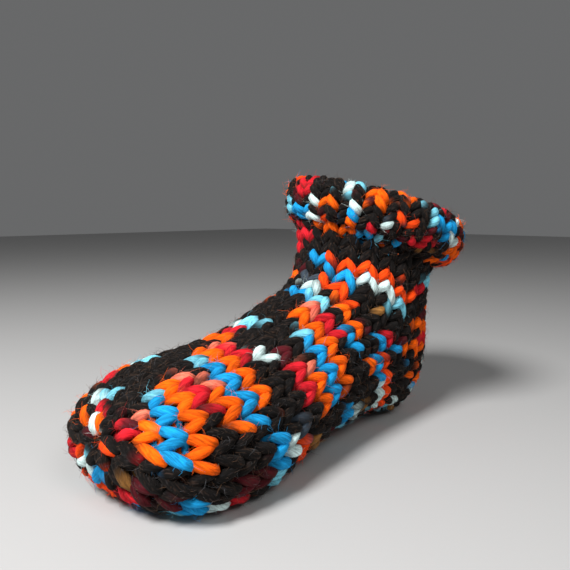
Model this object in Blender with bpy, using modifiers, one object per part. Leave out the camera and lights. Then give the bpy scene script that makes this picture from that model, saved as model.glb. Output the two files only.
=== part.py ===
"""Chunky hand-knitted slipper sock.

One tube of thick yarn, worked from the cuff down: leg, turned heel, sole, foot and
closed toe are knitted whole, and the brim is doubled into a thick rolled cuff.
The toe points to -X, the heel to +X, and the sole stands on the plane z = 0.
"""

from collections import namedtuple
import math

import bmesh
import bpy
import numpy as np

MM = 0.001

# Driving sizes of the sock, in millimetres, measured over the outside of the knitting.
FOOT_LENGTH = 246.0
BALL_WIDTH = 106.0
HEEL_WIDTH = 78.0
WAIST_WIDTH = 86.0
INSTEP_HEIGHT = 96.0
BALL_HEIGHT = 63.0
LEG_WIDTH = 88.0
COLLAR_HEIGHT = 153.0

# The knitted fabric, and the soles' flat spots where the fabric is pressed on the floor.
WALL = 7.0
RIM_ROUNDING = 2.4
PRESSED = -1.6
ARCH_RISE = 6.0
TOE_SPRING = 2.0

# The doubled brim: how far down the leg it reaches, and how far it stands out from the leg.
CUFF_HEIGHT_FRONT = 25.0
CUFF_HEIGHT_BACK = 35.0
CUFF_STANDS_FRONT = 9.0
CUFF_STANDS_FAR = 8.0
CUFF_STANDS_NEAR = 14.0
CUFF_STANDS_BACK = 23.0
SLUMP = 5.0
CUFF_GAP = 0.3
CUFF_SQUARENESS = 2.6

# How finely the form is cut: points round a section, rings between two sections.
AROUND = 36
RINGS_PER_SPAN = 3
CUFF_SEAT_RINGS = 8
CUFF_BELLY_RINGS = 14

# One row for each section, from the collar down the leg, round the heel and out to the toe.
# The top point lies on the front of the leg or on the instep, and the sole point on the back
# of the leg or under the foot. "forward" is counted from the back of the heel, "up" from the
# floor. "widest" is the share of the section's height, from the sole point, where it is widest,
# and the two rounds are 2 for an ellipse and more for a squarer half. "near_drop" is how far
# the slack leg hangs lower on its near side, and as much higher on the far one.
Section = namedtuple(
    "Section",
    "place top_forward top_up sole_forward sole_up"
    " half_width widest top_round sole_round near_drop",
)

SECTIONS = [
    Section("collar", 84, COLLAR_HEIGHT, -4, 133, LEG_WIDTH / 2 + 1, 0.50, 2.0, 2.0, SLUMP),
    Section("leg", 87, 133, -3, 114, LEG_WIDTH / 2, 0.50, 2.0, 2.0, SLUMP),
    Section("neck", 89, 116, 0, 94, LEG_WIDTH / 2 - 3, 0.50, 2.0, 2.0, SLUMP / 2),
    Section("ankle", 93, 105, 2, 62, HEEL_WIDTH / 2 + 1, 0.52, 2.1, 2.0, 0),
    Section("heel back", 99, INSTEP_HEIGHT, 1, 32, HEEL_WIDTH / 2, 0.52, 2.1, 2.2, 0),
    Section("heel turn", 104, 93, 12, 8, HEEL_WIDTH / 2, 0.52, 2.1, 2.2, 0),
    Section("heel base", 109, 89, 31, PRESSED, HEEL_WIDTH / 2, 0.54, 2.1, 2.2, 0),
    Section("arch", 119, 85, 68, ARCH_RISE - 1, WAIST_WIDTH / 2 - 3, 0.48, 2.1, 2.2, 0),
    Section("instep", 136, 77, 112, ARCH_RISE, WAIST_WIDTH / 2, 0.43, 2.1, 2.4, 0),
    Section("tread", 160, 68, 152, ARCH_RISE / 3, BALL_WIDTH / 2 - 5, 0.40, 2.1, 2.7, 0),
    Section("ball", 185, BALL_HEIGHT, 184, PRESSED, BALL_WIDTH / 2, 0.38, 2.2, 2.9, 0),
    Section("toes", 206, 61, 207, PRESSED, BALL_WIDTH / 2, 0.40, 2.2, 2.9, 0),
    Section("toe cap", 224, 54, 226, TOE_SPRING, BALL_WIDTH / 2 - 5, 0.43, 2.2, 2.6, 0),
    Section("toe round", 238, 45, 239, TOE_SPRING + 8, 34, 0.48, 2.1, 2.2, 0),
    Section("toe tip", FOOT_LENGTH - 2, 35, FOOT_LENGTH - 2, 23, 15, 0.50, 2.0, 2.0, 0),
]


def smooth_rows(table, per_span):
    """Rows between those of the table, eased so that no column overshoots its own values."""
    rows = np.array([row[1:] for row in table], dtype=float)
    step = np.diff(rows, axis=0)
    product = step[:-1] * step[1:]
    total = step[:-1] + step[1:]
    slope = np.zeros_like(rows)
    slope[0] = step[0]
    slope[-1] = step[-1]
    same_way = product > 0
    slope[1:-1][same_way] = 2 * product[same_way] / total[same_way]
    made = []
    for span in range(len(rows) - 1):
        for t in np.arange(per_span) / per_span:
            start = (1 + 2 * t) * (1 - t) ** 2 * rows[span] + t * (1 - t) ** 2 * slope[span]
            end = t**2 * (3 - 2 * t) * rows[span + 1] - t**2 * (1 - t) * slope[span + 1]
            made.append(start + end)
    made.append(rows[-1])
    return [Section("between", *row) for row in made]


def rounded(value, roundness):
    """A sine or cosine made squarer, as in a superellipse."""
    return math.copysign(abs(value) ** (2 / roundness), value)


def angles_around():
    """Angles from 0 at the far side, over the top point, to the near side and under."""
    return [2 * math.pi * step / AROUND for step in range(AROUND)]


def section_point(row, angle, extra):
    """The point of a section at an angle, with the form swollen by some millimetres."""
    top = np.array([-row.top_forward, row.top_up])
    sole = np.array([-row.sole_forward, row.sole_up])
    height = np.linalg.norm(top - sole)
    up = (top - sole) / height
    upper = math.sin(angle) >= 0
    roundness = row.top_round if upper else row.sole_round
    reach = height * (1 - row.widest) if upper else height * row.widest
    side = (row.half_width + extra) * rounded(math.cos(angle), roundness)
    rise = (reach + extra) * rounded(math.sin(angle), roundness)
    x, z = sole + up * (height * row.widest + rise)
    z += row.near_drop * side / row.half_width
    return (x * MM, side * MM, max(z, 0.0) * MM)


def skin(name, rings, closed_loop):
    """A mesh of four-sided faces over rings of points, its faces pointing out of the form."""
    mesh_maker = bmesh.new()
    rows = [[mesh_maker.verts.new(point) for point in ring] for ring in rings]
    if closed_loop:
        rows.append(rows[0])
    for this, following in zip(rows[:-1], rows[1:]):
        for here in range(AROUND):
            there = (here + 1) % AROUND
            mesh_maker.faces.new((this[here], following[here], following[there], this[there]))
    if not closed_loop:
        tip = np.mean([vertex.co for vertex in rows[-1]], axis=0)
        tip[0] -= MM
        pole = mesh_maker.verts.new(tip)
        for here in range(AROUND):
            mesh_maker.faces.new((rows[-1][here], pole, rows[-1][(here + 1) % AROUND]))
    mesh = bpy.data.meshes.new(name)
    mesh_maker.to_mesh(mesh)
    mesh_maker.free()
    mesh.shade_smooth()
    return mesh


def knitted_material(name, colour):
    material = bpy.data.materials.new(name)
    material.use_nodes = True
    shader = material.node_tree.nodes["Principled BSDF"]
    shader.inputs["Base Color"].default_value = (*colour, 1.0)
    shader.inputs["Roughness"].default_value = 0.95
    shader.inputs["Metallic"].default_value = 0.0
    return material


def add_piece(collection, name, mesh, colour):
    piece = bpy.data.objects.new(name, mesh)
    collection.objects.link(piece)
    mesh.materials.append(knitted_material(name, colour))
    return piece


def sock_rings():
    """Rings over the outside of the sock, from the collar to the toe tip."""
    rows = smooth_rows(SECTIONS, RINGS_PER_SPAN)
    return [[section_point(row, angle, 0.0) for angle in angles_around()] for row in rows]


def leg_below(collar_drop):
    """The leg's own section some millimetres below the collar."""
    leg = np.array([row[1:] for row in smooth_rows(SECTIONS, RINGS_PER_SPAN)])
    top_up = leg[:, Section._fields.index("top_up") - 1]
    columns = [np.interp(collar_drop, COLLAR_HEIGHT - top_up, column) for column in leg.T]
    return Section("cuff", *columns)


def cuff_height(angle):
    """How far down the leg the cuff reaches: less in front than at the back."""
    middle = (CUFF_HEIGHT_FRONT + CUFF_HEIGHT_BACK) / 2
    return middle + (CUFF_HEIGHT_FRONT - CUFF_HEIGHT_BACK) / 2 * math.sin(angle)


def cuff_stand(angle):
    """How far the cuff's belly stands out: it has slumped to the back and the near side."""
    front = max(math.sin(angle), 0.0) ** 2
    back = max(-math.sin(angle), 0.0) ** 2
    far = max(math.cos(angle), 0.0) ** 2
    near = max(-math.cos(angle), 0.0) ** 2
    ends = CUFF_STANDS_FRONT * front + CUFF_STANDS_BACK * back
    return ends + CUFF_STANDS_FAR * far + CUFF_STANDS_NEAR * near


def cuff_ring(share, belly):
    """One ring of the cuff, a share of the way down it and with a share of its belly."""
    return [
        section_point(
            leg_below(share * cuff_height(angle)), angle, CUFF_GAP + belly * cuff_stand(angle)
        )
        for angle in angles_around()
    ]


def cuff_rings():
    """Rings round the cuff's own section: up the leg's outside, then over and down its belly."""
    rings = [cuff_ring(share, 0.0) for share in np.linspace(0.97, 0.03, CUFF_SEAT_RINGS)]
    for step in range(CUFF_BELLY_RINGS):
        turn = math.pi * (step + 0.5) / CUFF_BELLY_RINGS
        share = 0.5 - 0.5 * rounded(math.cos(turn), CUFF_SQUARENESS)
        rings.append(cuff_ring(share, rounded(math.sin(turn), CUFF_SQUARENESS)))
    return rings


def centred(rings_of_pieces):
    """The same rings, moved along X and Y so that the whole sock is centred on the origin."""
    points = np.concatenate([np.reshape(rings, (-1, 3)) for rings in rings_of_pieces])
    shift = (points.min(axis=0) + points.max(axis=0)) / 2
    shift[2] = 0.0
    return [np.array(rings) - shift for rings in rings_of_pieces]


def build_sock(collection, rings):
    """The knitted wall: an open skin thickened inwards, with its collar edge rounded over."""
    mesh = skin("knitted_sock", rings, closed_loop=False)
    sock = add_piece(collection, "knitted_sock", mesh, (0.10, 0.06, 0.05))
    wall = sock.modifiers.new("fabric", "SOLIDIFY")
    wall.thickness = WALL * MM
    wall.offset = -1.0
    wall.use_even_offset = True
    rim = sock.modifiers.new("rim", "BEVEL")
    rim.width = RIM_ROUNDING * MM
    rim.segments = 2
    rim.limit_method = "ANGLE"
    rim.angle_limit = math.radians(60)
    return sock


def build_cuff(collection, rings):
    """The doubled brim, a closed band seated round the top of the leg."""
    mesh = skin("turned_cuff", rings, closed_loop=True)
    return add_piece(collection, "turned_cuff", mesh, (0.16, 0.08, 0.05))


for old in list(bpy.data.objects):
    bpy.data.objects.remove(old, do_unlink=True)

slipper_sock = bpy.data.collections.new("slipper_sock")
bpy.context.scene.collection.children.link(slipper_sock)
rings_of_sock, rings_of_cuff = centred([sock_rings(), cuff_rings()])
build_sock(slipper_sock, rings_of_sock)
build_cuff(slipper_sock, rings_of_cuff)
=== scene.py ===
# %% [markdown]
# A chunky slipper sock, knitted stitch by stitch
#
# The solid model is a smooth hollow sock with a doubled cuff round its collar. The real one is
# hand-knitted from one ball of very thick yarn, so what the eye sees is nearly a thousand plump
# loops. A picture of knitting on a smooth sock would look flat at this size. So every loop is
# made here as a real tube of yarn, laid over the solid sock that we load first.

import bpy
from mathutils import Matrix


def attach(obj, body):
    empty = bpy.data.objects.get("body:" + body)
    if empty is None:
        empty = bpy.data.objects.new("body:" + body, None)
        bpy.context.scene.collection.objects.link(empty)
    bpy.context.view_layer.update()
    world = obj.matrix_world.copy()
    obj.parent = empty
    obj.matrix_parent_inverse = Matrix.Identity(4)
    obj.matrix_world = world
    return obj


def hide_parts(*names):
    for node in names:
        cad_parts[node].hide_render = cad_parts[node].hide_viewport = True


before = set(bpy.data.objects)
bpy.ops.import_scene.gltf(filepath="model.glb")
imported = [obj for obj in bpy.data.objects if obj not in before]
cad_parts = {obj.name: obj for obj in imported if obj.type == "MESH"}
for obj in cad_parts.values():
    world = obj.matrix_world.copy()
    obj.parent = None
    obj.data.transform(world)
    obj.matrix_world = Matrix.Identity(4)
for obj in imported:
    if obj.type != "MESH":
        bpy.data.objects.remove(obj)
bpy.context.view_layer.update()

# %% [markdown]
# Where the camera stands
#
# The sock is seen from in front of its toe and about as far to one side, from just below the
# height of its collar. The lens is given in pixels of a square picture, and Blender wants it in
# millimetres on a 36 mm sensor, so one is turned into the other.

# %% Set the camera
import math

import bpy
from mathutils import Vector

MM = 0.001
PICTURE_SIDE = 570
LENS_PIXELS = 615.4
SENSOR_WIDTH = 36.0
EYE = Vector((-267.9, -235.2, 134.2)) * MM
TURN = math.radians(42.97)
LOOK_DOWN = math.radians(6.92)
NEAREST_SEEN = 10 * MM


def add_object(name, data):
    """A new object with that data, linked to the scene."""
    made = bpy.data.objects.new(name, data)
    bpy.context.scene.collection.objects.link(made)
    return made


optics = bpy.data.cameras.new("photo_camera")
optics.sensor_width = SENSOR_WIDTH
optics.lens = LENS_PIXELS / PICTURE_SIDE * SENSOR_WIDTH
optics.clip_start = NEAREST_SEEN
camera = add_object("photo_camera", optics)
camera.location = EYE
camera.rotation_euler = (math.pi / 2 - LOOK_DOWN, 0.0, TURN - math.pi / 2)
bpy.context.scene.camera = camera
print(f"camera lens {optics.lens:.1f} mm")

# %% [markdown]
# Feeling round the sock
#
# A knitter counts a sock in wales, the columns of stitches that run from cuff to toe, and in
# rounds, which go once about the leg. To lay stitches on the solid we first need its surface in
# those terms. Rays are shot at the solid from all round a section, and each ring of hits is later
# shared out evenly, so that every wale gets the same width.

# %% Rings of points on the solids
import numpy as np
from mathutils.bvhtree import BVHTree

WALES = 22
PER_WALE = 8
COLUMNS = WALES * PER_WALE
RAYS = 144
RAY_ANGLES = [2 * math.pi * step / RAYS for step in range(RAYS)]
FAR_AWAY = 0.25


def surface_of(node):
    """The faces of a solid, ready to be hit by rays."""
    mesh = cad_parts[node].data
    corners = [vertex.co.copy() for vertex in mesh.vertices]
    return BVHTree.FromPolygons(corners, [list(face.vertices) for face in mesh.polygons])


def ways_round(front, far_side):
    """Directions round a section: its front or top, its far side, its back and its near side."""
    return [front * math.cos(angle) + far_side * math.sin(angle) for angle in RAY_ANGLES]


def outside_hits(surface, middle, ways):
    """Where rays that come in from far away meet the outside of a solid."""
    return np.array([surface.ray_cast(middle + way * FAR_AWAY, -way)[0] for way in ways])


def inside_hits(surface, middle, ways):
    """Where rays that start in the hollow meet the inside of a solid."""
    return np.array([surface.ray_cast(middle, way)[0] for way in ways])


sock_surface = surface_of("knitted_sock")
cuff_surface = surface_of("turned_cuff")
print("surfaces ready for", COLUMNS, "columns in", WALES, "wales")

# %% [markdown]
# How the brim leans
#
# The soft brim has slumped, so it stands neither level nor square to the leg. Its angle could be
# typed in by hand, but then it would be wrong as soon as the solid changed. The points of the
# solid say it themselves: those of a ring spread least square to its own plane.

# %% Directions of the brim
TOEWARD = Vector((-1.0, 0.0, 0.0))
UP = Vector((0.0, 0.0, 1.0))
NEAR_MIDDLE = 15 * MM

cuff_points = np.array([vertex.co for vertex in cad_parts["turned_cuff"].data.vertices])
cuff_middle = Vector(cuff_points.mean(axis=0))
spread = np.linalg.eigh(np.cov((cuff_points - cuff_points.mean(axis=0)).T))[1]
cuff_up = Vector(spread[:, 0])
if cuff_up.z < 0:
    cuff_up = -cuff_up
cuff_front = (TOEWARD - cuff_up * TOEWARD.dot(cuff_up)).normalized()
cuff_far = cuff_front.cross(cuff_up).normalized()
if cuff_far.y < 0:
    cuff_far = -cuff_far

from_middle = cuff_points - np.array(cuff_middle)
heights = from_middle @ np.array(cuff_up)
halfway = np.abs(from_middle @ np.array(cuff_front)) < NEAR_MIDDLE
CUFF_TOP = float(heights[halfway].max())
CUFF_FOOT = float(heights[halfway].min())
print(f"brim leans {math.degrees(cuff_up.angle(UP)):.1f} degrees",
      f"and stands from {CUFF_FOOT / MM:.1f} to {CUFF_TOP / MM:.1f} mm about its middle")

# %% [markdown]
# Curves between rings
#
# Where knitting folds over or tucks under, it goes round in one soft curve, and rays from the side
# can't reach all of it. So the rings there are drawn as arcs between two rings that rays have
# found: half an ellipse for a fold, a quarter of one for a tuck.

# %% Arcs for the fold and the tuck
FOLD_RINGS = 12
UNDER_RINGS = 8


def arc_between(start, end, rise, steps):
    """Rings over half an ellipse from one ring to another, leaving both ends out."""
    rings = []
    for turn in np.linspace(math.pi, 0.0, steps + 2)[1:-1]:
        middle = (start + end) / 2 + (end - start) / 2 * math.cos(turn)
        rings.append(middle + np.array(cuff_up) * rise * math.sin(turn))
    return rings


def tucked_between(start, end, steps):
    """Rings over a quarter of an ellipse, down from one ring and in to the other."""
    rings = []
    for step in range(1, steps):
        turn = math.pi / 2 * step / steps
        inward = 1 - math.cos(turn)
        drop = ((end - start) @ np.array(cuff_up)) * (math.sin(turn) - inward)
        rings.append(start + (end - start) * inward + drop[:, None] * np.array(cuff_up))
    return rings


print("arcs of", FOLD_RINGS, "rings for the fold and", UNDER_RINGS - 1, "for the tuck")

# %% [markdown]
# The doubled brim
#
# The brim is knitted twice as long as it shows and folded to the inside, so its knitting starts
# at a hem inside the leg, runs up, over the fold, down the outside of the roll and in under it.
# The rings follow that same way. The hem is found with rays from the hollow and the belly of the
# roll with rays from outside. Arcs join them over the fold and lead in under the roll.

# %% Rings of the brim
BRIM_FAN = math.radians(2.6)
HEM_DEPTH = 34 * MM
HEM_STOP = 9 * MM
HEM_RINGS = 10
BELLY_TOP_SHARE = 0.55
BELLY_FOOT_SHARE = 0.62
BELLY_RINGS = 11
FOLD_SINK = 2 * MM
GROOVE_RISE = 0.5 * MM


def brim_section(height):
    """A section's middle and the ways round it. Sections fan out: the brim's back is taller."""
    tilt = BRIM_FAN * height / CUFF_FOOT
    front = cuff_front * math.cos(tilt) + cuff_up * math.sin(tilt)
    return cuff_middle + cuff_up * height, ways_round(front, cuff_far)


hem_top = CUFF_TOP - HEM_STOP
belly_top = BELLY_TOP_SHARE * CUFF_TOP
hem_rings = [
    inside_hits(sock_surface, *brim_section(height))
    for height in np.linspace(CUFF_TOP - HEM_DEPTH, hem_top, HEM_RINGS)
]
belly_rings = [
    outside_hits(cuff_surface, *brim_section(height))
    for height in np.linspace(belly_top, BELLY_FOOT_SHARE * CUFF_FOOT, BELLY_RINGS)
]
fold_rise = CUFF_TOP - FOLD_SINK - (hem_top + belly_top) / 2
fold_rings = arc_between(hem_rings[-1], belly_rings[0], fold_rise, FOLD_RINGS)
groove_ring = outside_hits(sock_surface, *brim_section(CUFF_FOOT + GROOVE_RISE))
under_rings = tucked_between(belly_rings[-1], groove_ring, UNDER_RINGS)
brim_rings = hem_rings + fold_rings + belly_rings + under_rings
print(len(brim_rings), "rings from the hem, over the fold, to the groove under the brim")

# %% [markdown]
# Leg, heel turn and foot
#
# At the heel the tube turns a corner. A knitter does that with short rows, which go to and fro
# over the heel alone, so the heel has far more stitches than the front of the ankle. Planes that
# fan out from a point above the instep follow this turn. The rounds still lean a little where the
# foot begins, with their tops towards the toe, and stand upright only where the toe starts.

# %% Rings of the leg and foot
SOCK_MIDDLE_Y = 2.76 * MM
BEND_POINT = Vector((-16 * MM, SOCK_MIDDLE_Y, 125 * MM))
FIRST_BEND = math.radians(16.5)
LAST_BEND = math.radians(73)
BEND_RINGS = 44
TOE_START = -96 * MM
HEART_SHARE = 0.45
FOOT_RINGS = 38
SPARE_RINGS = 6
TO_FAR_SIDE = Vector((0.0, 1.0, 0.0))


def to_the_back(angle):
    """The way from the front to the back of a plane that dips by that angle."""
    return Vector((math.cos(angle), 0.0, -math.sin(angle)))


def bend_middle(angle):
    """Halfway through the sock, on a plane that fans out from the bend point."""
    back = to_the_back(angle)
    front_hit = sock_surface.ray_cast(BEND_POINT, back)[0]
    back_hit = sock_surface.ray_cast(BEND_POINT + back * FAR_AWAY, -back)[0]
    return (front_hit + back_hit) / 2


def leaning_ring(middle, angle):
    """Hits round the sock on a plane that dips by that angle."""
    return outside_hits(sock_surface, middle, ways_round(-to_the_back(angle), TO_FAR_SIDE))


bend_rings = [
    leaning_ring(bend_middle(angle), angle)
    for angle in np.linspace(FIRST_BEND, LAST_BEND, BEND_RINGS)
]
foot_first = bend_middle(LAST_BEND)
toe_top = sock_surface.ray_cast(Vector((TOE_START, SOCK_MIDDLE_Y, FAR_AWAY)), -UP)[0]
TOE_HEART = Vector((TOE_START, SOCK_MIDDLE_Y, toe_top.z * HEART_SHARE))
foot_rings = []
for step in range(1, FOOT_RINGS + SPARE_RINGS + 1):
    share = step / FOOT_RINGS
    middle = foot_first.lerp(TOE_HEART, share)
    middle.z = max(middle.z, TOE_HEART.z)
    lean = LAST_BEND + (math.pi / 2 - LAST_BEND) * min(share, 1.0)
    foot_rings.append(leaning_ring(middle, lean))
print(len(bend_rings), "rings round the heel and", len(foot_rings), "along the foot")

# %% [markdown]
# Even steps along a line
#
# Rays hit a section at even angles, but stitches are evenly wide along the surface. So a ring is
# measured along its own length and read again at even steps. Wales and the yarn itself are
# measured in the same way further on.

# %% Measure lines and share them out
def running_length(line):
    """How far along a line each of its points lies."""
    steps = np.linalg.norm(np.diff(line, axis=0), axis=1)
    return np.concatenate([[0.0], np.cumsum(steps)])


def read_along(line, run, places):
    """The line's values at some places along its length."""
    return np.column_stack([np.interp(places, run, column) for column in line.T])


def shared_out(ring):
    """The same closed ring, with its points at even steps."""
    line = np.vstack([ring, ring[:1]])
    run = running_length(line)
    return read_along(line, run, np.linspace(0.0, run[-1], COLUMNS, endpoint=False))


print("each ring is shared out in", COLUMNS, "steps")

# %% [markdown]
# One sheet of knitting
#
# All rings are now put in order and eased a little, because the solid has flat facets and yarn
# has none. The sheet keeps a point and an outward direction for each place, and can be asked for
# any place in between. Inside the brim "outward" is towards the hollow, since that is where the
# right side of folded knitting looks.

# %% Join the rings into a sheet
JUST_SHORT = 0.001
TUBE_EASE = 3
SMALLEST = 1e-12


def unit(vectors):
    """The same directions, each with a length of one."""
    return vectors / np.maximum(np.linalg.norm(vectors, axis=-1, keepdims=True), SMALLEST)


class Sheet:
    """A sheet of knitting: rings follow each other along the wales, columns go across them."""

    def __init__(self, rings, ease):
        self.points = np.array([shared_out(ring) for ring in rings])
        for _ in range(ease):
            self.points[1:-1] = (self.points[:-2] + 2 * self.points[1:-1] + self.points[2:]) / 4
        along = np.gradient(self.points, axis=0)
        across = np.roll(self.points, -1, axis=1) - np.roll(self.points, 1, axis=1)
        self.out = unit(np.cross(across, along))

    def at(self, ring, column):
        """Points and outward directions at places given in rings and columns."""
        rings, columns = self.points.shape[:2]
        ring = np.clip(ring, 0, rings - 1 - JUST_SHORT)
        low = np.floor(ring).astype(int)
        left = np.floor(column).astype(int)
        part = (ring - low)[..., None]
        share = (column - left)[..., None]
        right = (left + 1) % columns
        left = left % columns

        def between(field):
            near = field[low, left] * (1 - share) + field[low, right] * share
            far = field[low + 1, left] * (1 - share) + field[low + 1, right] * share
            return near * (1 - part) + far * part

        return between(self.points), unit(between(self.out))


tube = Sheet(brim_rings + [groove_ring] + bend_rings + foot_rings, TUBE_EASE)
HEM_END = len(hem_rings) + FOLD_RINGS // 2
BRIM_END = len(brim_rings)
FOOT_BEGIN = BRIM_END + len(bend_rings)
TUBE_END = FOOT_BEGIN + FOOT_RINGS
print("sheet of", tube.points.shape[0], "rings by", tube.points.shape[1], "columns")

# %% [markdown]
# The gathered toe
#
# The foot ends as a hat does: stitches are knitted together in pairs, round after round, until
# only a few are left, and the yarn is drawn through those. All wales therefore run to one point
# at the tip. Upright planes would slice the blunt toe badly, so its rings are found with rays
# that swing from straight across to straight ahead, out of a point inside the toe.

# %% Sheet of the toe
SWING_STEP = math.radians(3)
SWING_SPARE = 6
TIP_SWING = math.radians(5)
GATHER_TILT = math.radians(11)
TOE_EASE = 2


def toe_ring(swing):
    """Hits round the toe on a cone about its heart: flat at first, tipped up as it narrows."""
    tilt = GATHER_TILT * max(0.0, 1 - swing / (math.pi / 2))
    ahead = TOEWARD * math.cos(tilt) + UP * math.sin(tilt)
    top = UP * math.cos(tilt) - TOEWARD * math.sin(tilt)
    ways = [
        ahead * math.cos(swing) + across * math.sin(swing)
        for across in ways_round(top, TO_FAR_SIDE)
    ]
    return outside_hits(sock_surface, TOE_HEART, ways)


swings = np.arange(math.pi / 2 + SWING_SPARE * SWING_STEP, TIP_SWING, -SWING_STEP)
toe = Sheet([toe_ring(swing) for swing in swings], TOE_EASE)
TOE_FIRST = SWING_SPARE
TOE_LAST = len(swings) - 1
girths = np.linalg.norm(np.roll(toe.points, -1, axis=1) - toe.points, axis=2).sum(axis=1)
print("toe rings from", round(girths[TOE_FIRST] / MM),
      "to", round(girths[TOE_LAST] / MM), "mm round")

# %% [markdown]
# One stitch
#
# A knit stitch is a loop shaped like a horseshoe. It comes up from behind, through the middle of
# the stitch before it, and its two legs spread apart on the front and dive under the next stitch.
# In thick soft yarn each leg is a plump drop with a round shoulder, and one leg lies over the
# other. The table gives one half of the loop for each of the two legs: how far aside, in widths
# of a wale, how far along, in heights of a row, and how deep and how thick, in millimetres.

# %% The loop as a table
from collections import namedtuple

LoopPoint = namedtuple("LoopPoint", "aside along depth thick")
FRONT_LEG = [
    LoopPoint(0.50, 0.14, -5.0, 1.7),
    LoopPoint(0.34, 0.02, -5.0, 1.8),
    LoopPoint(0.13, -0.04, -4.2, 2.1),
    LoopPoint(0.01, 0.02, -2.2, 2.6),
    LoopPoint(0.06, 0.20, -1.3, 2.8),
    LoopPoint(0.20, 0.52, -1.4, 2.8),
    LoopPoint(0.35, 0.88, -2.2, 2.4),
    LoopPoint(0.42, 1.14, -3.6, 1.9),
    LoopPoint(0.30, 1.38, -4.8, 1.7),
    LoopPoint(0.00, 1.46, -5.0, 1.7),
]
BACK_LEG = [
    LoopPoint(-0.50, 0.14, -5.0, 1.7),
    LoopPoint(-0.36, 0.04, -5.0, 1.8),
    LoopPoint(-0.20, 0.04, -4.2, 2.1),
    LoopPoint(-0.11, 0.14, -2.8, 2.5),
    LoopPoint(-0.14, 0.32, -1.9, 2.7),
    LoopPoint(-0.25, 0.62, -1.6, 2.7),
    LoopPoint(-0.37, 0.94, -2.3, 2.4),
    LoopPoint(-0.43, 1.16, -3.6, 1.9),
    LoopPoint(-0.30, 1.38, -4.8, 1.7),
]
print("loop table of", len(FRONT_LEG), "and", len(BACK_LEG), "points")

# %% [markdown]
# A smooth loop
#
# Yarn has no corners, so a smooth curve is drawn through the points of the table. Blender's own
# curves could do that, but a thousand of them would be slow to bend over the sock. Here one loop
# is worked out once and then laid everywhere. Its steps are even in millimetres, for which one
# wale counts as 13.6 mm and one row as 10 mm. The mirrored loop has its other leg on top.

# %% The loop as a line
LOOP_STEPS = 27
SPAN_STEPS = 12
LOOP_SCALE = LoopPoint(aside=13.6, along=10.0, depth=1.0, thick=0.0)
MIRROR = LoopPoint(aside=-1.0, along=1.0, depth=1.0, thick=1.0)


def smooth_line(points):
    """A smooth line through the points, at even steps along it."""
    knots = np.array(points, dtype=float)
    ends = np.vstack([2 * knots[0] - knots[1], knots, 2 * knots[-1] - knots[-2]])
    fine = []
    for span in range(len(knots) - 1):
        before, start, end, after = ends[span:span + 4]
        bend = 2 * start - 2 * end + (end - before) / 2 + (after - start) / 2
        lift = -3 * start + 3 * end - (end - before) - (after - start) / 2
        for t in np.linspace(0.0, 1.0, SPAN_STEPS, endpoint=False):
            fine.append(start + (end - before) / 2 * t + lift * t * t + bend * t**3)
    fine = np.array(fine + [knots[-1]])
    run = running_length(fine * LOOP_SCALE)
    return read_along(fine, run, np.linspace(0.0, run[-1], LOOP_STEPS))


loop_line = smooth_line(BACK_LEG + FRONT_LEG[::-1])
mirrored_line = loop_line[::-1] * MIRROR
loop_depth = LoopPoint(*loop_line.T).depth
print(f"one loop lies {loop_depth.max():.1f} to {loop_depth.min():.1f} mm deep")

# %% [markdown]
# Laying stitches along a wale
#
# A wale is a ladder of loops, each drawn through the one before it. The loop is laid once for
# every row, bent along with the sheet. Hand knitting is never quite even, so a seeded draw slides,
# tilts, spreads and plumps each loop a little, which keeps them from looking stamped out. Every
# stitch also notes where along the yarn's dye it begins and how much of the dye it uses up.

# %% The stitches of one wale
Stretch = namedtuple("Stretch", "sheet first last wales")
Stitches = namedtuple("Stitches", "path out thick begun used")
Wobble = namedtuple("Wobble", "slide tilt spread sideways sink swell")
WOBBLE = Wobble(slide=0.035, tilt=0.08, spread=0.03, sideways=0.015, sink=0.22, swell=0.04)
HAND_SEED = 20
hand_draw = np.random.default_rng(HAND_SEED)


def lay_wale(stretch, wale, count, line, begun, used, rows=None, plump=1.0):
    """Stitches of one wale that has that count of rows, or of only some of its rows."""
    rows = np.arange(count) if rows is None else np.asarray(rows)
    wide = COLUMNS / stretch.wales
    middle = (wale + 0.5) * wide
    rings = np.arange(len(stretch.sheet.points))
    run = running_length(stretch.sheet.at(rings, np.full(len(rings), middle))[0])
    row_height = (run[stretch.last] - run[stretch.first]) / count
    shift = hand_draw.normal(0.0, 1.0, (len(rows), len(WOBBLE))) * WOBBLE
    slide, tilt, spread, sideways, sink, swell = shift.T[..., None]
    aside, along, depth, thick = line.T
    along = along + slide + tilt * aside
    aside = aside * (1 + spread) + sideways
    depth = depth + sink
    thick = plump * thick * (1 + swell) * MM
    places = run[stretch.first] + (rows[:, None] + along) * row_height
    ring = np.interp(places, run, rings)
    place, out = stretch.sheet.at(ring, middle + aside * wide)
    path = place + out * depth[..., None] * MM
    return Stitches(path, out, thick, np.array(begun, dtype=float), np.full(len(rows), used))


print("each loop is placed with", len(WOBBLE), "small wobbles")

# %% [markdown]
# Counting stitches
#
# Before a part is knitted, its stitches have to be counted. A wale is measured along the sheet,
# and its length over the height of a row gives its stitches. Rounds begin at the back, where a
# knitter would hide the start, so each wale also has a place in its round.

# %% Lengths and places of wales
def joined(groups):
    """The stitches of several wales in one."""
    return Stitches(*[np.concatenate(field) for field in zip(*groups)])


def from_the_back(wale, wales):
    """How many stitches of its round come before a wale, when rounds begin at the back."""
    return (wale + wales // 2) % wales


def wale_length(stretch, wale):
    """How long a wale is on the sheet, as one of the wales of the leg and foot."""
    middle = wale * PER_WALE + PER_WALE // 2
    run = running_length(stretch.sheet.points[stretch.first:stretch.last + 1, middle])
    return run[-1]


def mean_length(stretch):
    """The mean of those lengths."""
    return np.mean([wale_length(stretch, wale) for wale in range(WALES)])


print("rounds begin at wale", WALES // 2, "of", WALES)

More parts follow.
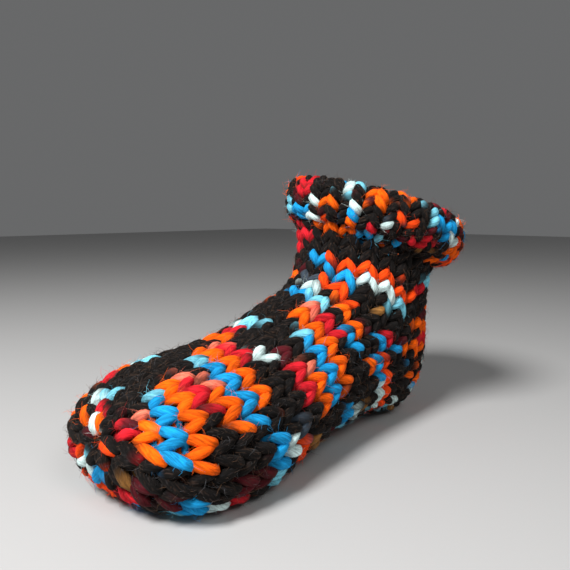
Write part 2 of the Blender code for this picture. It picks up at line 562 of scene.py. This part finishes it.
# %% [markdown]
# Casting on the brim
#
# The brim has finer stitches than the rest: more wales, shorter rows and slightly thinner yarn,
# because its two layers pull each other tight. Colour runs change after every stitch or so there,
# so it goes through the dye at a faster pace.

# %% Cast on the brim
BRIM_WALES = 26
BRIM_ROW = 6.4 * MM
BRIM_PLUMP = 0.92
BRIM_DYE = 77.5
BRIM_PACE = 2.34

hem_stretch = Stretch(tube, 0, HEM_END, BRIM_WALES)
roll_stretch = Stretch(tube, HEM_END, BRIM_END, BRIM_WALES)
HEM_ROUNDS = round(mean_length(hem_stretch) / BRIM_ROW)
ROLL_ROUNDS = round(mean_length(roll_stretch) / BRIM_ROW)
brim_rounds = np.arange(HEM_ROUNDS + ROLL_ROUNDS)
hem_wales, roll_wales = [], []
for wale in range(BRIM_WALES):
    order = from_the_back(wale, BRIM_WALES)
    begun = BRIM_DYE + BRIM_PACE * (brim_rounds * BRIM_WALES + order)
    hem_wales.append(lay_wale(hem_stretch, wale, HEM_ROUNDS, mirrored_line,
                              begun[:HEM_ROUNDS], BRIM_PACE, plump=BRIM_PLUMP))
    roll_wales.append(lay_wale(roll_stretch, wale, ROLL_ROUNDS, mirrored_line,
                               begun[HEM_ROUNDS:], BRIM_PACE, plump=BRIM_PLUMP))
hem_stitches = joined(hem_wales)
roll_stitches = joined(roll_wales)
print(f"brim of {BRIM_WALES} wales, {HEM_ROUNDS} rounds inside and {ROLL_ROUNDS} outside")

# %% [markdown]
# Down the leg, round the heel and along the foot
#
# Each wale gets as many stitches as fit its own length, so the long way round the heel gets its
# short rows by itself. Those rows use up yarn, so the heel and the foot take up the dye at other
# places than the leg would lead to. Just under the brim the yarn has one long dark stretch, which
# those stitches go through slowly. The short wales in front have their other leg on top.

# %% Knit the leg, the heel and the foot
LEG_ROW = 7.2 * MM
FOOT_ROW = 10.2 * MM
FEW_STITCHES = 9
PACE = 1.04
LEG_DYE = 6.5
HEEL_DYE = 9.5
FOOT_DYE = 110.5
NECK_ROUNDS = 2
NECK_STITCHES = 14
NECK_DYE = 35.1
NECK_PACE = 0.45
NECK_DRIFT = 0.5


def leg_dye(order, count):
    """Where along the dye each stitch of a leg wale begins, and how much of it each uses."""
    steps = np.arange(count)
    down_the_leg = LEG_DYE + PACE * (steps * WALES + order)
    round_the_heel = HEEL_DYE + PACE * ((steps - count) * WALES + order)
    begun = np.where(steps <= count // 2, down_the_leg, round_the_heel)
    dark_neck = NECK_DYE + NECK_PACE * order - NECK_DRIFT * steps
    in_the_neck = (steps < NECK_ROUNDS) & (order < NECK_STITCHES)
    return np.where(in_the_neck, dark_neck, begun), np.where(in_the_neck, NECK_PACE, PACE)


leg_stretch = Stretch(tube, BRIM_END, FOOT_BEGIN, WALES)
foot_stretch = Stretch(tube, FOOT_BEGIN, TUBE_END, WALES)
leg_counts = [round(wale_length(leg_stretch, wale) / LEG_ROW) for wale in range(WALES)]
FOOT_ROUNDS = round(mean_length(foot_stretch) / FOOT_ROW)
foot_rounds = np.arange(FOOT_ROUNDS)
leg_wales, foot_wales = [], []
for wale, count in enumerate(leg_counts):
    order = from_the_back(wale, WALES)
    line = mirrored_line if count < FEW_STITCHES else loop_line
    leg_wales.append(lay_wale(leg_stretch, wale, count, line, *leg_dye(order, count)))
    begun = FOOT_DYE + PACE * (foot_rounds * WALES + order)
    foot_wales.append(lay_wale(foot_stretch, wale, FOOT_ROUNDS, loop_line, begun, PACE))
leg_stitches = joined(leg_wales)
foot_stitches = joined(foot_wales)
print("stitches down the leg and heel by wale:", leg_counts, "then", FOOT_ROUNDS, "on the foot")

# %% [markdown]
# Knitting the toe together
#
# Round by round there are fewer stitches, until six are left for the yarn to be drawn through.
# Wales that only narrowed would crowd the last stitches together, so each round is shared out
# anew among its own count. Knitting stitches together uses up yarn too, so the toe takes up the
# dye at a place of its own.

# %% Knit the toe
TOE_COUNTS = [WALES, WALES, 19, 15, 10, 6]
TOE_DYE = 20.5

toe_rows = []
for row, wales in enumerate(TOE_COUNTS):
    toe_stretch = Stretch(toe, TOE_FIRST, TOE_LAST, wales)
    for wale in range(wales):
        order = from_the_back(wale, wales) * WALES / wales
        begun = TOE_DYE + PACE * ((FOOT_ROUNDS + row) * WALES + order)
        toe_rows.append(lay_wale(toe_stretch, wale, len(TOE_COUNTS), loop_line,
                                 [begun], PACE * WALES / wales, rows=[row]))
toe_stitches = joined(toe_rows)
print("toe of", len(toe_stitches.begun), "stitches in rounds of", TOE_COUNTS)

# %% [markdown]
# The dyed yarn
#
# The colours are not a pattern that is knitted in. The yarn is dyed in short runs along its
# length, and where each run falls is up to the stitch count. So one repeat of the dye is written
# down as a list of runs, in stitches, and each loop reads its colour from its own place along the
# yarn. About half of it is a black that is carded with a little brown and grey.

# %% The dye repeat
DyeRun = namedtuple("DyeRun", "dye stitches")
DYES = {
    "black": (0.0062, 0.0052, 0.0048),
    "orange": (0.98, 0.125, 0.003),
    "flame": (0.96, 0.070, 0.005),
    "blue": (0.010, 0.30, 0.64),
    "sky": (0.19, 0.58, 0.72),
    "frost": (0.62, 0.79, 0.77),
    "red": (0.62, 0.014, 0.024),
    "salmon": (0.78, 0.18, 0.11),
    "maroon": (0.075, 0.006, 0.010),
    "gold": (0.30, 0.135, 0.035),
    "slate": (0.050, 0.068, 0.090),
}
DYE_REPEAT = [DyeRun(*run) for run in (
    ("orange", 4.8), ("black", 3.2), ("red", 1.5), ("black", 4.0), ("frost", 1.0), ("black", 2.5),
    ("blue", 1.4), ("black", 1.6), ("maroon", 1.0), ("black", 1.5), ("blue", 3.6), ("sky", 0.8),
    ("black", 4.6), ("orange", 2.0), ("maroon", 1.0), ("black", 1.5), ("sky", 0.8), ("black", 3.7),
    ("red", 2.0), ("maroon", 1.2), ("black", 1.8), ("orange", 2.0), ("salmon", 0.7), ("black", 3.3),
    ("sky", 1.2), ("frost", 0.8), ("black", 3.6), ("red", 0.9), ("black", 1.5), ("flame", 3.6),
    ("maroon", 0.3), ("blue", 1.0), ("black", 2.6), ("gold", 0.7), ("black", 1.8), ("red", 2.0),
    ("maroon", 1.0), ("black", 2.5), ("red", 1.2), ("black", 1.3), ("orange", 1.5), ("black", 2.0),
    ("flame", 1.5), ("frost", 2.0), ("blue", 1.5), ("black", 1.2), ("maroon", 0.8), ("black", 1.0),
    ("flame", 2.0), ("slate", 1.0), ("black", 3.0), ("frost", 1.0), ("black", 1.5), ("orange", 2.2),
    ("frost", 0.8), ("black", 1.3), ("maroon", 0.9), ("black", 1.8), ("sky", 1.2), ("black", 2.6),
    ("orange", 0.9), ("black", 1.0), ("orange", 2.3), ("black", 1.0), ("frost", 1.0), ("black", 4.0),
    ("red", 1.7), ("salmon", 0.8), ("black", 3.0), ("orange", 2.5), ("black", 2.5), ("gold", 0.6),
    ("black", 2.9), ("blue", 1.3), ("black", 1.5), ("sky", 1.2), ("blue", 1.5), ("black", 1.0),
)]
run_ends = np.cumsum([run.stitches for run in DYE_REPEAT])
REPEAT_LENGTH = run_ends[-1]
print(f"dye repeat of {len(DYE_REPEAT)} runs over {REPEAT_LENGTH:.1f} stitches")

# %% [markdown]
# Reading the dye
#
# Dye creeps along wet yarn, so one colour runs into the next over about a third of a stitch. Dark
# runs are the carded ones, and how far a place is carded is noted beside its colour, because only
# there do brown and grey fibres show.

# %% Colour at a place along the yarn
BLEND = 0.30
DARK_DYES = ("black", "maroon", "slate")
run_colours = np.array([DYES[run.dye] for run in DYE_REPEAT])
run_carded = np.array([float(run.dye in DARK_DYES) for run in DYE_REPEAT])


def dyed(yarn_place):
    """Colour of the yarn, and how much of it is carded, at places along it."""
    place = yarn_place % REPEAT_LENGTH
    run = np.minimum(np.searchsorted(run_ends, place, side="right"), len(run_ends) - 1)
    following = (run + 1) % len(run_ends)
    share = np.clip(1 - (run_ends[run] - place) / BLEND, 0.0, 1.0)
    share = share * share * (3 - 2 * share)
    colour = run_colours[run] * (1 - share[..., None]) + run_colours[following] * share[..., None]
    return colour, run_carded[run] * (1 - share) + run_carded[following] * share


carded_stitches = sum(run.stitches for run in DYE_REPEAT if run.dye in DARK_DYES)
print(f"{carded_stitches:.1f} stitches of the repeat are dark and carded")

# %% [markdown]
# Fibres in the yarn
#
# Thick soft yarn is a bundle of fibres that lie along it. A noise that is stretched along the
# yarn looks like them. It is read from the yarn's own coordinates, which every vertex carries
# with it: how far along, and where round the strand. A picture would have to be unwrapped for
# every loop, and would repeat.

# %% Noise that lies along the yarn
Fibres = namedtuple("Fibres", "along around detail")
Ramp = namedtuple("Ramp", "low high dark light")
FIBRE_ROUGHNESS = 0.6


def vertex_values(tree, name):
    """A node that reads what every vertex carries under that name."""
    reader = tree.nodes.new("ShaderNodeAttribute")
    reader.attribute_name = name
    return reader


def fibre_noise(tree, yarn, fibres):
    """A noise over the yarn's own coordinates, finer round the strand than along it."""
    stretch = tree.nodes.new("ShaderNodeMapping")
    stretch.inputs["Scale"].default_value = (fibres.along, fibres.around, fibres.around)
    tree.links.new(yarn.outputs["Vector"], stretch.inputs["Vector"])
    noise = tree.nodes.new("ShaderNodeTexNoise")
    noise.inputs["Scale"].default_value = 1.0
    noise.inputs["Detail"].default_value = fibres.detail
    noise.inputs["Roughness"].default_value = FIBRE_ROUGHNESS
    tree.links.new(stretch.outputs["Vector"], noise.inputs["Vector"])
    return noise


def ramped(tree, noise, ramp):
    """The noise turned into a share, from dark where it is low to light where it is high."""
    ranged = tree.nodes.new("ShaderNodeMapRange")
    ranged.inputs["From Min"].default_value = ramp.low
    ranged.inputs["From Max"].default_value = ramp.high
    ranged.inputs["To Min"].default_value = ramp.dark
    ranged.inputs["To Max"].default_value = ramp.light
    tree.links.new(noise.outputs["Fac"], ranged.inputs["Value"])
    return ranged


print("fibre noise of roughness", FIBRE_ROUGHNESS)

# %% [markdown]
# Streaks and flecks
#
# Some fibres are darker or lighter than their neighbours, which shows as streaks in the dye. On
# the carded runs some are brown or grey. Those could be dye runs too, but they are far finer than
# a stitch, so they are mixed in as flecks, and only where the yarn is carded.

# %% Dye with streaks and flecks
STREAKS = Fibres(along=0.17, around=1.0, detail=4.0)
STREAK_SHADE = Ramp(low=0.34, high=0.62, dark=0.55, light=1.24)
FLECKS = Fibres(along=0.42, around=1.5, detail=3.0)
FLECK_SHARE = Ramp(low=0.52, high=0.68, dark=0.0, light=0.36)
TINTS = Fibres(along=0.10, around=0.5, detail=1.0)
FLECK_TINTS = ((0.38, (0.040, 0.040, 0.045, 1.0)), (0.62, (0.105, 0.055, 0.034, 1.0)))


def streaked_dye(tree, yarn):
    """The dye, darker and lighter by streaks."""
    shade = ramped(tree, fibre_noise(tree, yarn, STREAKS), STREAK_SHADE)
    streaked = tree.nodes.new("ShaderNodeMix")
    streaked.data_type = "RGBA"
    streaked.blend_type = "MULTIPLY"
    streaked.inputs["Factor"].default_value = 1.0
    tree.links.new(vertex_values(tree, "dye").outputs["Color"], streaked.inputs["A"])
    tree.links.new(shade.outputs["Result"], streaked.inputs["B"])
    return streaked


def flecked(tree, yarn, streaked):
    """The streaked dye with brown and grey flecks, on the carded runs alone."""
    share = ramped(tree, fibre_noise(tree, yarn, FLECKS), FLECK_SHARE)
    only_carded = tree.nodes.new("ShaderNodeMath")
    only_carded.operation = "MULTIPLY"
    tree.links.new(share.outputs["Result"], only_carded.inputs[0])
    tree.links.new(vertex_values(tree, "carded").outputs["Fac"], only_carded.inputs[1])
    tint = tree.nodes.new("ShaderNodeValToRGB")
    for element, (position, colour) in zip(tint.color_ramp.elements, FLECK_TINTS):
        element.position = position
        element.color = colour
    tree.links.new(fibre_noise(tree, yarn, TINTS).outputs["Fac"], tint.inputs["Fac"])
    mixed = tree.nodes.new("ShaderNodeMix")
    mixed.data_type = "RGBA"
    tree.links.new(only_carded.outputs["Value"], mixed.inputs["Factor"])
    tree.links.new(streaked.outputs["Result"], mixed.inputs["A"])
    tree.links.new(tint.outputs["Color"], mixed.inputs["B"])
    return mixed


print("streaks from", STREAK_SHADE.dark, "to", STREAK_SHADE.light, "times the dye")

# %% [markdown]
# Yarn with a finish
#
# The yarn is matt, with a faint light on its fuzz. A fine relief breaks up that light, and is far
# too small to be modelled. One function makes the finish, and the sock and its cuff each get a
# material of their own, so that either can be repainted later.

# %% The yarn material
RELIEF = Fibres(along=0.35, around=2.4, detail=5.0)
RELIEF_STRENGTH = 0.5
RELIEF_HEIGHT = 0.8 * MM
YARN_ROUGHNESS = 0.86
YARN_SHINE = 0.09
FUZZ = 0.02
FUZZ_ROUGHNESS = 0.45
FUZZ_TINT = (1.0, 0.93, 0.85, 1.0)


def new_material(name, roughness):
    """A material of that roughness, with its shader."""
    material = bpy.data.materials.new(name)
    material.use_nodes = True
    shader = material.node_tree.nodes["Principled BSDF"]
    shader.inputs["Roughness"].default_value = roughness
    return material, shader


def yarn_material(name):
    """Matt yarn with streaks, flecks and a fine relief."""
    material, shader = new_material(name, YARN_ROUGHNESS)
    tree = material.node_tree
    shader.inputs["Specular IOR Level"].default_value = YARN_SHINE
    shader.inputs["Sheen Weight"].default_value = FUZZ
    shader.inputs["Sheen Roughness"].default_value = FUZZ_ROUGHNESS
    shader.inputs["Sheen Tint"].default_value = FUZZ_TINT
    yarn = vertex_values(tree, "yarn")
    colour = flecked(tree, yarn, streaked_dye(tree, yarn))
    tree.links.new(colour.outputs["Result"], shader.inputs["Base Color"])
    bump = tree.nodes.new("ShaderNodeBump")
    bump.inputs["Strength"].default_value = RELIEF_STRENGTH
    bump.inputs["Distance"].default_value = RELIEF_HEIGHT
    tree.links.new(fibre_noise(tree, yarn, RELIEF).outputs["Fac"], bump.inputs["Height"])
    tree.links.new(bump.outputs["Normal"], shader.inputs["Normal"])
    return material


sock_yarn = yarn_material("sock_yarn")
cuff_yarn = yarn_material("cuff_yarn")
print("yarn materials", sock_yarn.name, "and", cuff_yarn.name)

# %% [markdown]
# From paths to yarn
#
# A path becomes yarn when a ring of points is carried along it. The ring must not spin as it
# goes, so each ring is turned only as much as the path itself turns. The strand is lightly
# twisted from a few plies, which shows as shallow grooves that wind round it.

# %% Carry a ring along every path
STRAND_SIDES = 10
PLIES = 3
PLY_TURN = 52 * MM
PLY_DEPTH = 0.022


def squared_up(vectors, ahead):
    """The part of some directions that lies square to the way ahead."""
    return unit(vectors - ahead * np.sum(vectors * ahead, axis=-1, keepdims=True))


def carried_rings(stitches):
    """Ring points of all loops, with the length along each loop and the angles round it."""
    path = stitches.path
    ahead = unit(np.gradient(path, axis=1))
    side = np.empty_like(path)
    side[:, 0] = squared_up(stitches.out[:, 0], ahead[:, 0])
    for step in range(1, path.shape[1]):
        side[:, step] = squared_up(side[:, step - 1], ahead[:, step])
    other = np.cross(ahead, side)
    run = np.cumsum(np.linalg.norm(np.diff(path, axis=1, prepend=path[:, :1]), axis=2), axis=1)
    angle = 2 * math.pi * np.arange(STRAND_SIDES) / STRAND_SIDES
    twist = PLIES * angle - 2 * math.pi * PLIES * run[..., None] / PLY_TURN
    radius = stitches.thick[..., None] * (1 + PLY_DEPTH * np.cos(twist))
    points = path[:, :, None] + side[:, :, None] * (radius * np.cos(angle))[..., None]
    points = points + other[:, :, None] * (radius * np.sin(angle))[..., None]
    return points, run, angle


print("a strand has", STRAND_SIDES, "sides and", PLIES, "plies")

# %% [markdown]
# Skin for the strands
#
# The rings of one loop are joined by four-cornered faces, and both ends are closed, so that every
# loop is a solid of its own. Building a thousand loops one by one with Blender's tools would be
# slow. All corners and faces of a piece are numbered at once instead, and handed over in one go.

# %% Faces and meshes for many strands
def strand_faces(count, steps, sides):
    """Four-cornered faces along each strand, and the two faces that close its ends."""
    start = np.arange(count) * steps * sides
    ring = start[:, None, None] + (np.arange(steps - 1) * sides)[None, :, None]
    here = np.arange(sides)
    there = (here + 1) % sides
    corners = [ring + here, ring + there, ring + sides + there, ring + sides + here]
    quads = np.stack(corners, axis=-1).reshape(-1, 4)
    front = start[:, None] + here[::-1]
    back = start[:, None] + (steps - 1) * sides + here
    return quads, np.concatenate([front, back])


def mesh_of(name, points, quads, ends):
    """One smooth mesh from all those points and faces."""
    mesh = bpy.data.meshes.new(name)
    corners = np.concatenate([quads.ravel(), ends.ravel()]).astype(np.int32)
    sizes = np.concatenate([np.full(len(quads), 4), np.full(len(ends), ends.shape[1])])
    starts = np.concatenate([[0], np.cumsum(sizes)[:-1]]).astype(np.int32)
    mesh.vertices.add(points.size // 3)
    mesh.vertices.foreach_set("co", points.astype(np.float32).ravel())
    mesh.loops.add(len(corners))
    mesh.loops.foreach_set("vertex_index", corners)
    mesh.polygons.add(len(sizes))
    mesh.polygons.foreach_set("loop_start", starts)
    mesh.update(calc_edges=True)
    mesh.validate()
    mesh.shade_smooth()
    return mesh


def give_values(mesh, name, kind, field, values):
    """Lets every vertex carry a value, which a material can read by its name."""
    layer = mesh.attributes.new(name, kind, "POINT")
    layer.data.foreach_set(field, values.astype(np.float32).ravel())


def give_dye(mesh, colour, each):
    """Lets the vertices carry a colour, each of the colours for that many vertices."""
    rgba = np.concatenate([colour, np.ones(colour.shape[:-1] + (1,))], axis=-1)
    give_values(mesh, "dye", "FLOAT_COLOR", "color", np.repeat(rgba[..., None, :], each, axis=-2))


print("one loop has", len(loop_line) * STRAND_SIDES, "vertices")

# %% [markdown]
# What the yarn carries
#
# Where a loop dives between its neighbours its strand is thinner, and painted shade darkens its
# dye there, in place of the shade that the neighbours cast. No two stitches have quite the same
# tone of dye either. A material can't tell one stitch from the next, so both are worked into the
# dye that every vertex carries. Each vertex also carries its own place in the yarn, from which the
# fibre noise is read.

# %% Values for every vertex
# GAP_SHADE: how strongly painted shade darkens the dye where a loop dives between its neighbours.
GAP_SHADE = 2.5
SHADE_WOBBLE = 0.10
NEXT_STITCH = 61.0


def dye_and_shade_the_yarn(mesh, stitches):
    """Lets every vertex carry its dye, with painted shade where the loop dives, and how much is
    carded.
    """
    count, steps = stitches.path.shape[:2]
    share = np.linspace(0.0, 1.0, steps)
    colour, carded = dyed(stitches.begun[:, None] + stitches.used[:, None] * share)
    shade = 1 + SHADE_WOBBLE * hand_draw.normal(0.0, 1.0, (count, 1, 1))
    # Painted shade: the dye is darkened where the strand thins as it dives between its neighbours.
    squeezed = stitches.thick / stitches.thick.max(axis=1, keepdims=True)
    colour = np.clip(colour * shade * squeezed[..., None] ** GAP_SHADE, 0.0, 1.0)
    give_dye(mesh, colour, STRAND_SIDES)
    give_values(mesh, "carded", "FLOAT", "value", np.repeat(carded, STRAND_SIDES))


def measure_the_yarn(mesh, stitches, run, angle):
    """Lets every vertex carry its place in the yarn: how far along, and where round the strand."""
    spin = angle - 2 * math.pi * run[..., None] / PLY_TURN
    thick = stitches.thick[..., None] / MM
    start = NEXT_STITCH * np.arange(len(run))[:, None, None]
    along = np.broadcast_to(run[..., None] / MM + start, spin.shape)
    place = np.stack([along, thick * np.cos(spin), thick * np.sin(spin)], axis=-1)
    give_values(mesh, "yarn", "FLOAT_VECTOR", "vector", place)


print("stitches differ by about", SHADE_WOBBLE, "of their shade")

# %% [markdown]
# Knit the pieces
#
# The stitches are joined into a handful of pieces, one for each part of the sock that a knitter
# would name. Under the sock the yarn is pressed flat, because it can't reach below the floor.
# Every piece rides on the sock's one body, and the solids that it stands for are hidden.

# %% Make each piece of knitting
SQUEEZE = 1.6 * MM


def pressed(points):
    """Yarn that would reach below the floor is squeezed flat on it instead."""
    height = points[..., 2]
    squeezed = np.where(height < SQUEEZE, SQUEEZE * np.exp((height - SQUEEZE) / SQUEEZE), height)
    return np.concatenate([points[..., :2], squeezed[..., None]], axis=-1)


def add_piece(name, mesh, material):
    """A piece of the sock, which rides on its one body."""
    piece = add_object(name, mesh)
    mesh.materials.append(material)
    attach(piece, "root")
    return piece


def knit(name, stitches, material, nodes):
    """A piece of knitting that stands for those solids."""
    points, run, angle = carried_rings(stitches)
    count, steps = stitches.path.shape[:2]
    quads, ends = strand_faces(count, steps, STRAND_SIDES)
    mesh = mesh_of(name, pressed(points), quads, ends)
    dye_and_shade_the_yarn(mesh, stitches)
    measure_the_yarn(mesh, stitches, run, angle)
    piece = add_piece(name, mesh, material)
    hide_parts(*nodes)
    print(f"{name}: {count} stitches, {len(quads) * 2} triangles on their sides")


knit("cuff_roll", roll_stitches, cuff_yarn, ["turned_cuff"])
knit("cuff_hem", hem_stitches, cuff_yarn, ["turned_cuff"])
knit("leg_and_heel", leg_stitches, sock_yarn, ["knitted_sock"])
knit("foot", foot_stitches, sock_yarn, ["knitted_sock"])
knit("toe", toe_stitches, sock_yarn, ["knitted_sock"])

# %% [markdown]
# Where hairs grow
#
# Soft yarn sheds fibres, and short hairs stand off every strand. A seeded draw decides where each
# one grows, how it leans, how long it is and which way it bends. None grow on the fifth of a loop
# at either end, which is hidden behind the knitting.

# %% Paths of the hairs
HAIR_SEED = 7
HAIR_STEPS = 3
LOOP_FIFTHS = 5
HAIR_LEAN = 1.3
ROOT_SHARE = 0.9
STAND_OFF = 0.55
SWAY_ALONG = 0.7
SWAY_ASIDE = 0.5
CURL = 0.5
DROOP = 0.25
LENGTH_SHAPE = 3.0
LENGTH_SCALE = 1.15
SHORTEST = 1.2
LONGEST = 7.0
hair_draw = np.random.default_rng(HAIR_SEED)

Hairs = namedtuple("Hairs", "path out aside dye_place")


def hair_paths(stitches, count):
    """Bent paths for so many hairs, and where along the dye each of them grows."""
    loops, steps = stitches.path.shape[:2]
    hidden = steps // LOOP_FIFTHS
    stitch = hair_draw.integers(0, loops, count)
    step = hair_draw.integers(hidden, steps - hidden, count)
    ahead = unit(np.gradient(stitches.path, axis=1))[stitch, step]
    out = squared_up(stitches.out[stitch, step], ahead)
    aside = np.cross(ahead, out)
    lean = hair_draw.uniform(-HAIR_LEAN, HAIR_LEAN, (count, 1))
    stand = out * np.cos(lean) + aside * np.sin(lean)
    thick = stitches.thick[stitch, step][:, None]
    root = stitches.path[stitch, step] + stand * thick * ROOT_SHARE
    along, across, curl_along, curl_across = hair_draw.normal(0.0, 1.0, (count, 4)).T[..., None]
    way = unit(stand * STAND_OFF + ahead * along * SWAY_ALONG + aside * across * SWAY_ASIDE)
    curl = unit(ahead * curl_along + aside * curl_across) * CURL - stand * DROOP
    drawn = hair_draw.gamma(LENGTH_SHAPE, LENGTH_SCALE, (count, 1, 1))
    length = drawn.clip(SHORTEST, LONGEST) * MM
    t = np.linspace(0.0, 1.0, HAIR_STEPS)[None, :, None]
    path = root[:, None] + length * (way[:, None] * t + curl[:, None] * t * t)
    dye_place = stitches.begun[stitch] + stitches.used[stitch] * (step / (steps - 1))
    return Hairs(path, out, aside, dye_place)


print(f"hairs are {SHORTEST} to {LONGEST} mm long")

# %% [markdown]
# Loose hairs
#
# On the carded black most hairs are brown or grey, which is what makes it look woolly and not
# like rubber. Blender has a hair system, but it would not survive an export. So each hair is a
# very thin strand of three sides that tapers to its tip.

# %% Grow the hairs
HAIR_SIDES = 3
HAIR_THICK = 0.075 * MM
HAIR_TIP = 0.35
HAIR_SKEW = 0.3
OFF_THE_FLOOR = 0.05 * MM
HAIR_ROUGHNESS = 0.7
HAIR_SHINE = 0.25
CARDED_HAIRS = np.array(
    [(0.15, 0.078, 0.041), (0.09, 0.056, 0.041), (0.09, 0.09, 0.095), (0.02, 0.015, 0.014)]
)


def hair_rings(hairs):
    """Rings of three points along each hair, none of them below the floor."""
    ahead = unit(np.gradient(hairs.path, axis=1))
    side = unit(np.cross(ahead, hairs.out[:, None] + HAIR_SKEW * hairs.aside[:, None]))
    other = np.cross(ahead, side)
    angle = 2 * math.pi * np.arange(HAIR_SIDES) / HAIR_SIDES
    around = side[:, :, None] * np.cos(angle)[:, None] + other[:, :, None] * np.sin(angle)[:, None]
    taper = np.linspace(1.0, HAIR_TIP, HAIR_STEPS)[None, :, None, None]
    rings = hairs.path[:, :, None] + HAIR_THICK * taper * around
    rings[..., 2] = np.maximum(rings[..., 2], OFF_THE_FLOOR)
    return rings


def grow_hairs(name, stitches, material, count):
    """A piece of so many hairs, grown on some stitches."""
    hairs = hair_paths(stitches, count)
    quads, ends = strand_faces(count, HAIR_STEPS, HAIR_SIDES)
    mesh = mesh_of(name, hair_rings(hairs), quads, ends)
    colour, carded = dyed(hairs.dye_place)
    wool = CARDED_HAIRS[hair_draw.integers(0, len(CARDED_HAIRS), count)]
    colour = colour * (1 - carded[:, None]) + wool * carded[:, None]
    give_dye(mesh, colour, HAIR_STEPS * HAIR_SIDES)
    add_piece(name, mesh, material)
    print(f"{name}: {count} hairs, {len(quads) * 2 + len(ends)} triangles")


def hair_material(name):
    """A plain finish that shows each hair's own colour."""
    material, shader = new_material(name, HAIR_ROUGHNESS)
    shader.inputs["Specular IOR Level"].default_value = HAIR_SHINE
    dye = vertex_values(material.node_tree, "dye")
    material.node_tree.links.new(dye.outputs["Color"], shader.inputs["Base Color"])
    return material


loose_hair = hair_material("loose_hair")
grow_hairs("cuff_hairs", roll_stitches, loose_hair, count=8000)
grow_hairs("leg_hairs", leg_stitches, loose_hair, count=9500)
grow_hairs("foot_hairs", foot_stitches, loose_hair, count=8500)
grow_hairs("toe_hairs", toe_stitches, loose_hair, count=4000)

# %% [markdown]
# The floor
#
# A plain pale floor shows how the sock stands. It is one large face, so that its edge stays far
# behind the sock from any side. It isn't part of the sock.

# %% Lay the floor
FLOOR_HALF = 3.0
FLOOR_COLOUR = (0.44, 0.436, 0.431)
FLOOR_ROUGHNESS = 0.8

floor_corners = [Vector((x, y, 0.0)) for x, y in ((-1, -1), (1, -1), (1, 1), (-1, 1))]
floor_mesh = bpy.data.meshes.new("floor")
floor_mesh.from_pydata([corner * FLOOR_HALF for corner in floor_corners], [], [(0, 1, 2, 3)])
floor = add_object("floor", floor_mesh)
pale_floor, floor_shader = new_material("pale_floor", FLOOR_ROUGHNESS)
floor_shader.inputs["Base Color"].default_value = (*FLOOR_COLOUR, 1.0)
floor_mesh.materials.append(pale_floor)
print("floor of", 2 * FLOOR_HALF, "m on each side")

# %% [markdown]
# Light
#
# Plump loops show best in light from one side, with soft shadows between them. So one strong soft
# lamp stands high at the left, a weaker one at the right, and a dim pale sky fills in the rest.
# Colours are shown with the plain Standard view, because the default one would dull the dyes.

# %% Lamps and sky
Lamp = namedtuple("Lamp", "name place target size power")
LAMPS = [
    Lamp("key_lamp", (-0.72, -0.08, 0.85), (0.0, 0.0, 0.05), size=0.36, power=18.5),
    Lamp("fill_lamp", (-0.30, -0.85, 0.85), (0.0, 0.0, 0.06), size=0.5, power=4.0),
]
SKY_COLOUR = (0.86, 0.87, 0.88, 1.0)
SKY_STRENGTH = 0.16

for lamp in LAMPS:
    light = bpy.data.lights.new(lamp.name, "AREA")
    light.shape = "DISK"
    light.size = lamp.size
    light.energy = lamp.power
    stand = add_object(lamp.name, light)
    stand.location = lamp.place
    aim = Vector(lamp.target) - Vector(lamp.place)
    stand.rotation_euler = aim.to_track_quat("-Z", "Y").to_euler()
sky = bpy.data.worlds.new("studio")
sky.use_nodes = True
background = sky.node_tree.nodes["Background"]
background.inputs["Color"].default_value = SKY_COLOUR
background.inputs["Strength"].default_value = SKY_STRENGTH
bpy.context.scene.world = sky
bpy.context.scene.view_settings.view_transform = "Standard"
print(len(LAMPS), "lamps and a pale sky")
